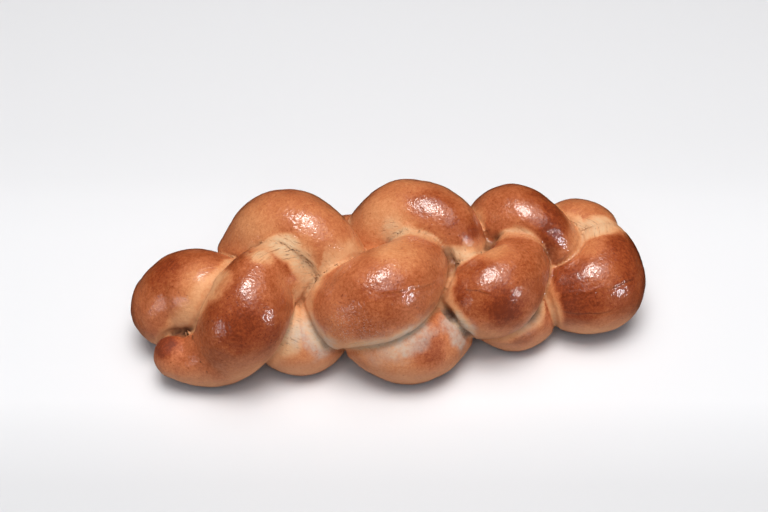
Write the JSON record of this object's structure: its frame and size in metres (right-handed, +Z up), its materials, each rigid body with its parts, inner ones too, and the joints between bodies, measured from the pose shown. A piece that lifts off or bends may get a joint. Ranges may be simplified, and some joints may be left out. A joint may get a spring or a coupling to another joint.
{
  "type": "braided loaf",
  "caption": "Glossy golden-brown braided loaf of plump round strands crossing over and under, tapering to tucked ends, baked in one piece.",
  "frame": {"origin": "middle of the loaf's bounding box, on the plane it rests on", "axes": "+X along the loaf towards the end whose last strand hooks round, +Y towards the back, +Z up from the table"},
  "size_m": [0.3386, 0.144, 0.0967],
  "materials": {
    "crust": "egg-washed golden-brown crust, glossy on the crowns and pale in the creases"
  },
  "bodies": {
    "root": {"loaf": "crust"}
  },
  "joints": []
}
